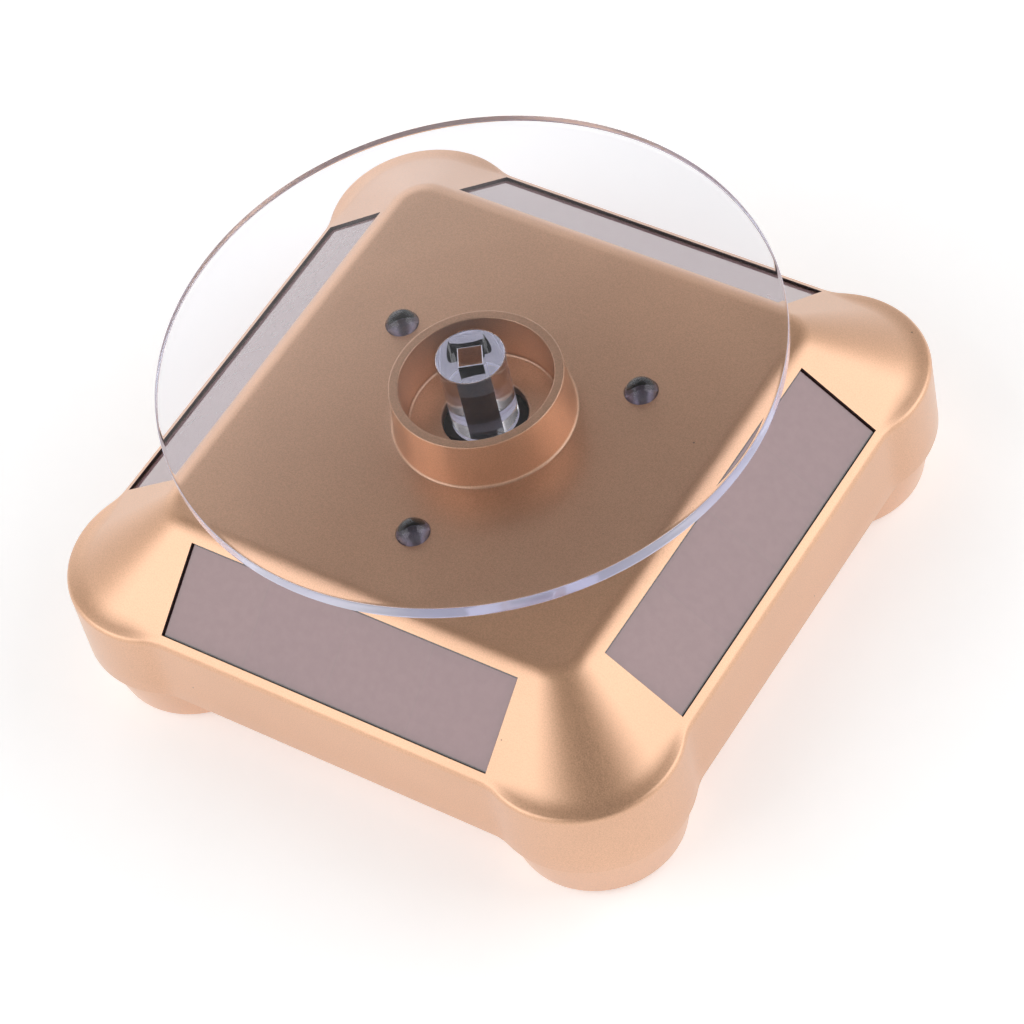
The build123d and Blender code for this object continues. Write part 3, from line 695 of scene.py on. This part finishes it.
pad_profile = np.array(
    [(0, 0), *groove_points, (pad_radius - 0.3, 0), (pad_radius - 0.08, 0.08), (pad_radius, 0.3),
     (pad_radius, pad_top - 0.02), (0, pad_top - 0.02)]
)
for corner, (x, y) in zip(corner_names, corner_signs):
    place = [(x * foot_middle, y * foot_middle)]
    foot = turned(f"painted_foot_{corner}", foot_profile, place, 128)
    dress(foot, "housing", "copper_paint", copper, f"foot_{corner}")
    pad = turned(f"ringed_pad_{corner}", pad_profile, place, 96, closed=False)
    dress(pad, "housing", "pad_rubber", pad_rubber, f"pad_{corner}")

# %% [markdown]
# ## The clear turntable
# The disc and the stem under it are clear acrylic, bonded so that no seam shows. Two separate solids
# that touch would show a false silver layer between them, so both are one closed surface: down from
# the disc's top, round the rim, along the underside, down the stem, and up inside the square hole.
# Not all of it is polished. The stem's end is as it was moulded, and its pale ring fills most of
# what an eye sees through the stem's top. A weak painted glow, painted light standing for the light led
# down from the disc, makes that ring paler. The disc's edge is sawn and flamed, so it scatters some of
# the light that runs inside the disc. That makes three materials, all with acrylic's index.


# %% Three kinds of acrylic surface
acrylic_index = 1.49


def clear_acrylic():
    """Polished faces: fully clear, with a trace of lavender and of haze."""
    finish = Finish(
        "clear_acrylic", Base_Color=(0.97, 0.972, 1.0, 1), Transmission_Weight=1.0, IOR=acrylic_index
    )
    finish.roughness(finish.span(finish.noise(60, 3.0), 0.004, 0.018, 0.35, 0.65))
    finish.bump(finish.noise(240, 2.0), 0.0015, 0.25)
    return finish.material


def frosted_acrylic_painted_glow():
    """Moulded faces of the stem's end. The weak glow stands for light led down from the disc."""
    # The emission is painted light: the stem's end glows weakly, though it is no lamp.
    finish = Finish(
        "frosted_acrylic_painted_glow", Transmission_Weight=0.35, IOR=acrylic_index, Roughness=0.45,
        Emission_Color=(0.8, 0.8, 1.0, 1), Emission_Strength=0.24,
    )
    grain = finish.noise(2500, 2.0)
    finish.colour(finish.ramp(grain, [(0.3, (0.78, 0.78, 0.93)), (0.7, (0.92, 0.92, 1.0))]))
    finish.bump(grain, 0.006, 0.3)
    return finish.material


def edge_acrylic():
    """The disc's edge: half clear, half lavender, with slow changes along it."""
    finish = Finish(
        "edge_acrylic", Transmission_Weight=0.55, IOR=acrylic_index, Coat_Weight=0.6, Coat_Roughness=0.05
    )
    drift = finish.noise(35, 2.0)
    finish.colour(finish.ramp(drift, [(0.35, (0.66, 0.65, 0.96)), (0.65, (0.84, 0.83, 1.0))]))
    finish.roughness(finish.span(drift, 0.04, 0.12, 0.35, 0.65))
    return finish.material


turntable_materials = [clear_acrylic(), frosted_acrylic_painted_glow(), edge_acrylic()]
print("made", ", ".join(material.name for material in turntable_materials))

# %% [markdown]
# Light bends by the shading normal, so a large flat face must not share a smooth normal with a
# rounded edge, or the whole disc turns into a weak lens. A narrow flat band next to each rounded
# edge takes the change of normal, and the rest of the face stays truly flat.

# %% Section of the disc and the stem
disc_radius, disc_top, disc_bottom = disc_high[0], disc_high[2], disc_low[2]
stem_radius = stem_high[0]
stem_bottom = stem_low[2] + 0.04  # just clear of the spindle's flange
flat_band = 0.5
edge_bend = 0.2
edge_steps = 6
square_half = 1.85
square_turn = math.radians(35)
roof = disc_bottom - 0.1
roof_bevel = 0.12

rim_section = rounded(
    [
        (disc_radius - flat_band, disc_top, 0),
        (disc_radius, disc_top, edge_bend),
        (disc_radius, disc_top - flat_band, 0),
        (disc_radius, disc_bottom + flat_band, 0),
        (disc_radius, disc_bottom, edge_bend),
        (disc_radius - flat_band, disc_bottom, 0),
    ],
    edge_steps,
)
neck_section = rounded(
    [
        (stem_radius + flat_band, disc_bottom, 0),
        (stem_radius, disc_bottom, edge_bend),
        (stem_radius, disc_bottom - flat_band, 0),
    ],
    edge_steps,
)
end_section = rounded(
    [
        (stem_radius, stem_bottom + 1.0, 0),
        (stem_radius, stem_bottom, 0.5),
        (stem_radius - 0.8, stem_bottom, 0),
    ],
    edge_steps,
)
round_section = np.concatenate(
    [[(0.4, disc_top)], rim_section, neck_section, end_section, [(3.3, stem_bottom)]]
)
square_section = np.array(
    [
        (square_half, stem_bottom),
        (square_half, roof - roof_bevel),
        (square_half - roof_bevel, roof),
        (0.35, roof),
    ]
)
print(len(round_section), "round rows and", len(square_section), "square rows")


# %% Clear turntable
def turntable_grid(columns):
    """Round rows r (cos a, sin a), then square rows with r divided by the larger of |cos a|, |sin a|.

    The angle a counts from the square's own direction, so that its corners fall on columns.
    """
    angle = np.linspace(0, 2 * math.pi, columns, endpoint=False)
    square = 1 / np.maximum(np.abs(np.cos(angle)), np.abs(np.sin(angle)))
    radius = np.concatenate([round_section[:, :1] * np.ones(columns), square_section[:, :1] * square])
    height = np.concatenate([round_section, square_section])[:, 1:] * np.ones(columns)
    place = angle + square_turn
    return np.stack([radius * np.cos(place), radius * np.sin(place), height], axis=-1)


def clear_turntable(columns):
    """Closed piece for disc and stem, and the material number of each face."""
    grid = turntable_grid(columns)
    count = grid.shape[0] * columns
    faces = quads(grid.shape[0], columns).tolist()
    faces.extend(fan(count, 0, columns))
    faces.extend(fan(count + 1, count - columns, columns))
    poles = np.array([(0, 0, disc_top), (0, 0, roof)])
    piece = make_piece("clear_turntable", np.concatenate([grid.reshape(-1, 3), poles]), faces)
    end_row = 1 + len(rim_section) + len(neck_section)
    roof_row = len(round_section) + 1
    rim_row = 1 + edge_steps // 2
    numbers = np.zeros(len(faces), dtype=np.int32)
    numbers[end_row * columns:(end_row + len(end_section)) * columns] = 1
    numbers[roof_row * columns:(roof_row + 1) * columns] = 1
    numbers[rim_row * columns:(2 * edge_steps - 1) * columns] = 2
    return piece, numbers


turntable, material_numbers = clear_turntable(384)
dress(
    turntable, "turntable", "clear_acrylic", turntable_materials[0], "turntable_disc", "disc_stem"
)
for material in turntable_materials[1:]:
    turntable.data.materials.append(material)
turntable.data.polygons.foreach_set("material_index", material_numbers)
print("faces of each material:", np.bincount(material_numbers).tolist())

# %% [markdown]
# ## Lamps
# Three clear 5 mm lamps stand in the plateau. A lamp is a lens of clear resin with metal inside: a
# cup on a post that holds the chip. The lens bends the view, so that the dark cup seems to fill the
# dome. A dark painted dome would miss that, so lens and metal are both modelled.


# %% Lamps
def lamp_resin():
    finish = Finish(
        "lamp_resin", Base_Color=(0.8, 0.77, 0.88, 1), Transmission_Weight=1.0, IOR=1.54, Roughness=0.02
    )
    finish.roughness(finish.span(finish.noise(300, 2.0), 0.01, 0.05, 0.35, 0.65))
    finish.bump(finish.noise(500, 2.0), 0.002, 0.3)
    return finish.material


lamp_metal = grained("lamp_metal", (0.17, 0.15, 0.19), (0.36, 0.32, 0.38), 0.3, 0.01, (0.3, 0.5), 0.8)
lamp_top, lamp_bottom = lamps_high[2], lamps_low[2]
lens_profile = rounded(
    [
        (0, lamp_bottom, 0),
        (lamp_radius + 0.4, lamp_bottom, 0.1),
        (lamp_radius + 0.4, lamp_bottom + 1.0, 0.1),
        (lamp_radius, lamp_bottom + 1.0, 0),
        (lamp_radius, lamp_top, 0.97 * lamp_radius),
        (0, lamp_top, 0),
    ],
    14,
)
cup_z = plateau_z - 1.6
cup_profile = np.array(
    [(0, lamp_bottom + 0.8), (0.9, lamp_bottom + 0.8), (0.9, cup_z - 1.4), (1.5, cup_z), (1.25, cup_z),
     (0.6, cup_z - 0.6), (0, cup_z - 0.6)]
)
lenses = turned("lamp_lenses", lens_profile, lamp_places, 72, closed=False)
dress(lenses, "housing", "lamp_clear", lamp_resin(), "lamps")
cups = turned("lamp_cups", cup_profile, lamp_places, 40, closed=False)
shade(cups)
cups.data.materials.append(lamp_metal)
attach(cups, "housing")

# %% [markdown]
# ## Solar panels
# Each panel is a strip of glass with a thin dark film of silicon on its back, split into cells by
# fine lines across it. The glass lies just under the window. A panel is a slab with slightly broken
# edges, and its own UV map, in millimetres from its middle, tells the material where the lines are.

# %% Panel surface
panel_overlap = 1.0
panel_slope_width = window_bottom - window_top + 2 * panel_overlap
panel_thickness = 1.6
panel_depth = 0.5


def panel_frame(turn):
    """Middle of a panel's face and its three directions: along, up the slope, and outwards."""
    down = window_top + (window_bottom - window_top) / 2
    out = plateau_half + down * math.cos(slope) - panel_depth * math.sin(slope)
    height = plateau_z - down * math.sin(slope) - panel_depth * math.cos(slope)
    ray = np.array([math.cos(turn), math.sin(turn), 0.0])
    middle = ray * out + up * height
    along = np.array([-math.sin(turn), math.cos(turn), 0.0])
    outwards = ray * math.sin(slope) + up * math.cos(slope)
    return middle, along, np.cross(outwards, along), outwards


def panel_slab(name, turn):
    """Closed slab: rows down one section of it, columns round its edge, with two flat caps.

    The outline is the rectangle, drawn as a closed run of points. Each row is the outline drawn in
    by the broken edge at the face and the back.
    """
    middle, along, uphill, outwards = panel_frame(turn)
    half_u, half_v = window_half + panel_overlap, panel_slope_width / 2
    corners = np.array([(-half_u, -half_v), (half_u, -half_v), (half_u, half_v), (-half_u, half_v)])
    levels = [(0.12, 0.0), (0.0, -0.12), (0.0, -panel_thickness + 0.12), (0.12, -panel_thickness)]
    rows = [np.sign(corners) * (np.abs(corners) - inset) for inset, _ in levels]
    flat = np.concatenate(rows)
    depth = np.repeat([z for _, z in levels], 4)
    points = middle + flat[:, :1] * along + flat[:, 1:] * uphill + depth[:, None] * outwards
    faces = [*quads(4, 4).tolist(), [0, 1, 2, 3], [12, 13, 14, 15]]
    return make_piece(name, points, faces, uv=flat)


# %% [markdown]
# The film looks brown to mauve. Its colour changes a little from cell to cell, the lines between
# cells are only a shade lighter, and a dark line of painted shade runs just inside the window's edge.


# %% Solar glass
def solar_glass():
    finish = Finish("solar_glass", Roughness=0.12, Coat_Weight=1.0, Coat_Roughness=0.03)
    uv = finish.tree.nodes.new("ShaderNodeUVMap").outputs["UV"]
    parts = finish.tree.nodes.new("ShaderNodeSeparateXYZ")
    finish.join(uv, parts.inputs[0])
    along, across = parts.outputs["X"], parts.outputs["Y"]
    cell_length = window_length / 4
    shifted = finish.math("ADD", along, 2 * window_length)
    share = finish.math("FRACT", finish.math("DIVIDE", shifted, cell_length))
    from_line = finish.math("MULTIPLY", finish.math("PINGPONG", share, 0.5), cell_length)
    line = finish.span(from_line, 1.0, 0.0, 0.05, 0.16)
    cell = finish.math("FLOOR", finish.math("DIVIDE", shifted, cell_length))
    tone = finish.tree.nodes.new("ShaderNodeTexWhiteNoise")
    tone.noise_dimensions = "1D"
    finish.join(cell, tone.inputs["W"])
    film = finish.ramp(tone.outputs["Value"], [(0.0, (0.305, 0.17, 0.182)), (1.0, (0.325, 0.186, 0.19))])
    grain = finish.ramp(finish.noise(700, 3.0), [(0.35, (0.94, 0.94, 0.94)), (0.65, (1, 1, 1))])
    lined = finish.mix(finish.math("MULTIPLY", line, 0.22), finish.times(film, grain), (0.24, 0.17, 0.165))
    end_gap = finish.math("SUBTRACT", window_half, finish.math("ABSOLUTE", along))
    side_gap = finish.math("SUBTRACT", (window_bottom - window_top) / 2, finish.math("ABSOLUTE", across))
    # Painted shade: a dark line just inside the window's edge stands for the edge's shade on the film.
    painted_edge_shade = finish.span(finish.math("MINIMUM", end_gap, side_gap), 1.0, 0.0, 0.22, 0.32)
    finish.colour(finish.mix(painted_edge_shade, lined, (0.03, 0.012, 0.012)))
    finish.roughness(finish.span(finish.noise(150, 2.0), 0.08, 0.16, 0.35, 0.65))
    finish.bump(finish.noise(90, 2.0), 0.004, 0.2)
    return finish.material


glass = solar_glass()
for side, turn in (("front", -90), ("right", 0), ("back", 90), ("left", 180)):
    slab = panel_slab(f"solar_glass_{side}", math.radians(turn))
    dress(slab, "housing", "solar_glass", glass, f"solar_panel_{side}")

# %% [markdown]
# ## Finishes for the parts that keep their mesh
# The base, the gear train, the motor and the electrics already have their true shape, so they only
# need materials. The circuit board gets copper tracks under green lacquer, and the cell and the
# capacitor get printed sleeves with plain bands.


# %% Circuit board
def circuit_board():
    finish = Finish("board_green", Roughness=0.35, Coat_Weight=0.4, Coat_Roughness=0.15)
    mapping = fill(finish.tree.nodes.new("ShaderNodeMapping"), {"Scale": (420, 420, 420)})
    finish.join(finish.place, mapping.inputs["Vector"])
    bricks = fill(
        finish.tree.nodes.new("ShaderNodeTexBrick"),
        {"Scale": 1.0, "Mortar Size": 0.09, "Brick Width": 1.7, "Row Height": 0.6},
    )
    finish.join(mapping.outputs["Vector"], bricks.inputs["Vector"])
    finish.colour(finish.mix(bricks.outputs["Fac"], (0.012, 0.1, 0.035), (0.04, 0.22, 0.08)))
    finish.bump(bricks.outputs["Fac"], 0.03, 0.5)
    return finish.material


def sleeve(name, axis, band_at, band_colour, body_colour, direction):
    """Glossy shrink sleeve with one band past a given place along an axis, in mm."""
    finish = Finish(name, Roughness=0.25, Coat_Weight=0.6, Coat_Roughness=0.08)
    parts = finish.tree.nodes.new("ShaderNodeSeparateXYZ")
    finish.join(finish.place, parts.inputs[0])
    place = finish.math("MULTIPLY", parts.outputs[axis], direction / mm)
    band = finish.span(place, 0.0, 1.0, band_at - 0.1, band_at + 0.1)
    finish.colour(finish.mix(band, body_colour, band_colour))
    finish.bump(finish.noise(400, 3.0), 0.01, 0.25)
    return finish.material


# %% Give the finishes out
cell_sleeve = sleeve("cell_sleeve", "X", 17.0, (0.55, 0.3, 0.1), (0.035, 0.04, 0.045), 1)
capacitor_sleeve = sleeve("capacitor_sleeve", "X", 40.0, (0.5, 0.52, 0.55), (0.02, 0.03, 0.09), -1)
finishes = {
    copper: ["base_plate"],
    dark_plastic: ["battery_door", "switch_knob", "switch_body", "motor_end_cap"],
    spindle_plastic: ["drive_spindle"],
    frame_plastic: ["gearbox_lower_plate", "gearbox_upper_plate"],
    gear_plastic: ["output_wheel", "idler_gear_a", "idler_gear_b"],
    brass: ["motor_pinion", "spindle_bush"],
    steel: [
        "idler_pins", "gearbox_plate_screws", "gearbox_post_screws", "motor_screws", "board_screws",
        "housing_screws", "motor_shaft", "contact_plate", "contact_spring", "motor_can",
    ],
    motor_iron: ["motor_armature", "motor_magnets"],
    cell_sleeve: ["battery_cell"],
    circuit_board(): ["circuit_board"],
    capacitor_sleeve: ["capacitor"],
}
for material, names in finishes.items():
    for name in names:
        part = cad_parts[name]
        part.data.materials.clear()
        part.data.materials.append(material)
    print(material.name, "on", len(names), "parts")

# %% [markdown]
# ## Studio sky
# A white tent gives the soft light. Its sky is brightest at the horizon, which the walls mirror, and
# darker overhead, which the plateau mirrors, so the plateau stays deeper in tone. One brighter patch
# low at the back left is what the polished disc mirrors there as a pale veil. Light inside the disc
# and the stem bounces many times before it leaves, so the limits on bounces are raised.

# %% Sky
scene = bpy.context.scene
scene.view_settings.view_transform = "Standard"
scene.cycles.max_bounces = 32
scene.cycles.transmission_bounces = 24
scene.cycles.glossy_bounces = 24
world = bpy.data.worlds.new("studio")
scene.world = world
world.use_nodes = True
sky = world.node_tree


def sky_share(direction, start, end):
    """0 to 1 as a ray comes closer to a direction: their dot product, from start to end."""
    dot = sky.nodes.new("ShaderNodeVectorMath")
    dot.operation = "DOT_PRODUCT"
    dot.inputs[1].default_value = Vector(direction).normalized()
    sky.links.new(sky.nodes.new("ShaderNodeTexCoord").outputs["Generated"], dot.inputs[0])
    share = fill(sky.nodes.new("ShaderNodeMapRange"), {"From Min": start, "From Max": end})
    share.interpolation_type = "SMOOTHSTEP"
    sky.links.new(dot.outputs["Value"], share.inputs["Value"])
    return share.outputs["Result"]


def sky_sum(base, *terms):
    """Base number plus each term, a pair of an output and its factor."""
    total = None
    for output, factor in terms:
        step = sky.nodes.new("ShaderNodeMath")
        step.operation = "MULTIPLY_ADD"
        step.inputs[1].default_value = factor
        sky.links.new(output, step.inputs[0])
        if total is None:
            step.inputs[2].default_value = base
        else:
            sky.links.new(total, step.inputs[2])
        total = step.outputs[0]
    return total


horizon_strength = 0.8
overhead_drop = -0.66
veil_toward = (-0.75, 0.5, 0.43)
veil_strength = 0.75
overhead = sky_share((0, 0, 1), 0.25, 0.75)
veil = sky_share(veil_toward, 0.893, 0.935)
background = fill(sky.nodes["Background"], {"Color": (1, 1, 1, 1)})
brightness = sky_sum(horizon_strength, (overhead, overhead_drop), (veil, veil_strength))
sky.links.new(brightness, background.inputs["Strength"])
print("sky", horizon_strength, "at the horizon,", round(horizon_strength + overhead_drop, 2), "overhead")

# %% [markdown]
# ## Floor and lights
# The floor is white paper on a light table, so it has a weak glow of its own. Two large soft boxes
# light the slopes: one to the left front that the front slope mirrors, and one to the right back
# that the right slope mirrors. Between the two each lobe shows a soft dark streak.

# %% Floor and lights
floor_half = 3.0
floor_mesh = bpy.data.meshes.new("studio_floor")
floor_corners = np.array([(-1, -1, 0), (1, -1, 0), (1, 1, 0), (-1, 1, 0)]) * floor_half
floor_mesh.from_pydata(floor_corners.tolist(), [], [(0, 1, 2, 3)])
floor = bpy.data.objects.new("studio_floor", floor_mesh)
scene.collection.objects.link(floor)
floor_mesh.materials.append(
    grained(
        "floor_paper", (0.9, 0.9, 0.905), (0.92, 0.92, 0.925), 3.0, 0.01, (0.7, 0.8),
        Emission_Color=(1, 1, 1, 1), Emission_Strength=0.36,
    )
)


def soft_box(name, direction, distance, size, power):
    """Square area light that faces the stand from the given direction."""
    light = bpy.data.lights.new(name, "AREA")
    light.shape = "SQUARE"
    light.size = size
    light.energy = power
    lamp = bpy.data.objects.new(name, light)
    scene.collection.objects.link(lamp)
    place = Vector(direction).normalized() * distance
    lamp.location = place
    lamp.rotation_euler = (-place).to_track_quat("-Z", "Y").to_euler()
    return lamp


soft_box("left_soft_box", (-0.436, -0.623, 0.649), 1.0, 0.85, 4.2)
soft_box("right_soft_box", (0.629, 0.458, 0.628), 1.0, 0.85, 4.2)


# %% [markdown]
# ## Camera
# A long lens looks down at the front right corner from about 51 degrees, turned a little on its own
# axis, so that the stand lies diagonally in the picture.


# %% Camera
def look_from(azimuth, elevation, roll, distance, target):
    """Camera placement from its direction, its turn about the view axis, and what it aims at."""
    a, e, r = (math.radians(v) for v in (azimuth, elevation, roll))
    back = Vector((math.sin(a) * math.cos(e), -math.cos(a) * math.cos(e), math.sin(e)))
    right = Vector((math.cos(a), math.sin(a), 0))
    upright = back.cross(right)
    x = math.cos(r) * right + math.sin(r) * upright
    y = -math.sin(r) * right + math.cos(r) * upright
    placement = Matrix((x, y, back)).transposed().to_4x4()
    placement.translation = Vector(target) + back * distance
    return placement


camera = bpy.data.objects.new("camera", bpy.data.cameras.new("camera"))
scene.collection.objects.link(camera)
scene.camera = camera
aim_height = plateau_z - 27.77
camera.matrix_world = look_from(43.56, 50.8, -14.89, 614.7 * mm, (-4.734 * mm, 1.424 * mm, aim_height * mm))
camera.data.lens = 140.5
camera.data.shift_x = 0.0167
camera.data.shift_y = 0.0035
camera.data.clip_start = 0.01
camera.data.clip_end = 10
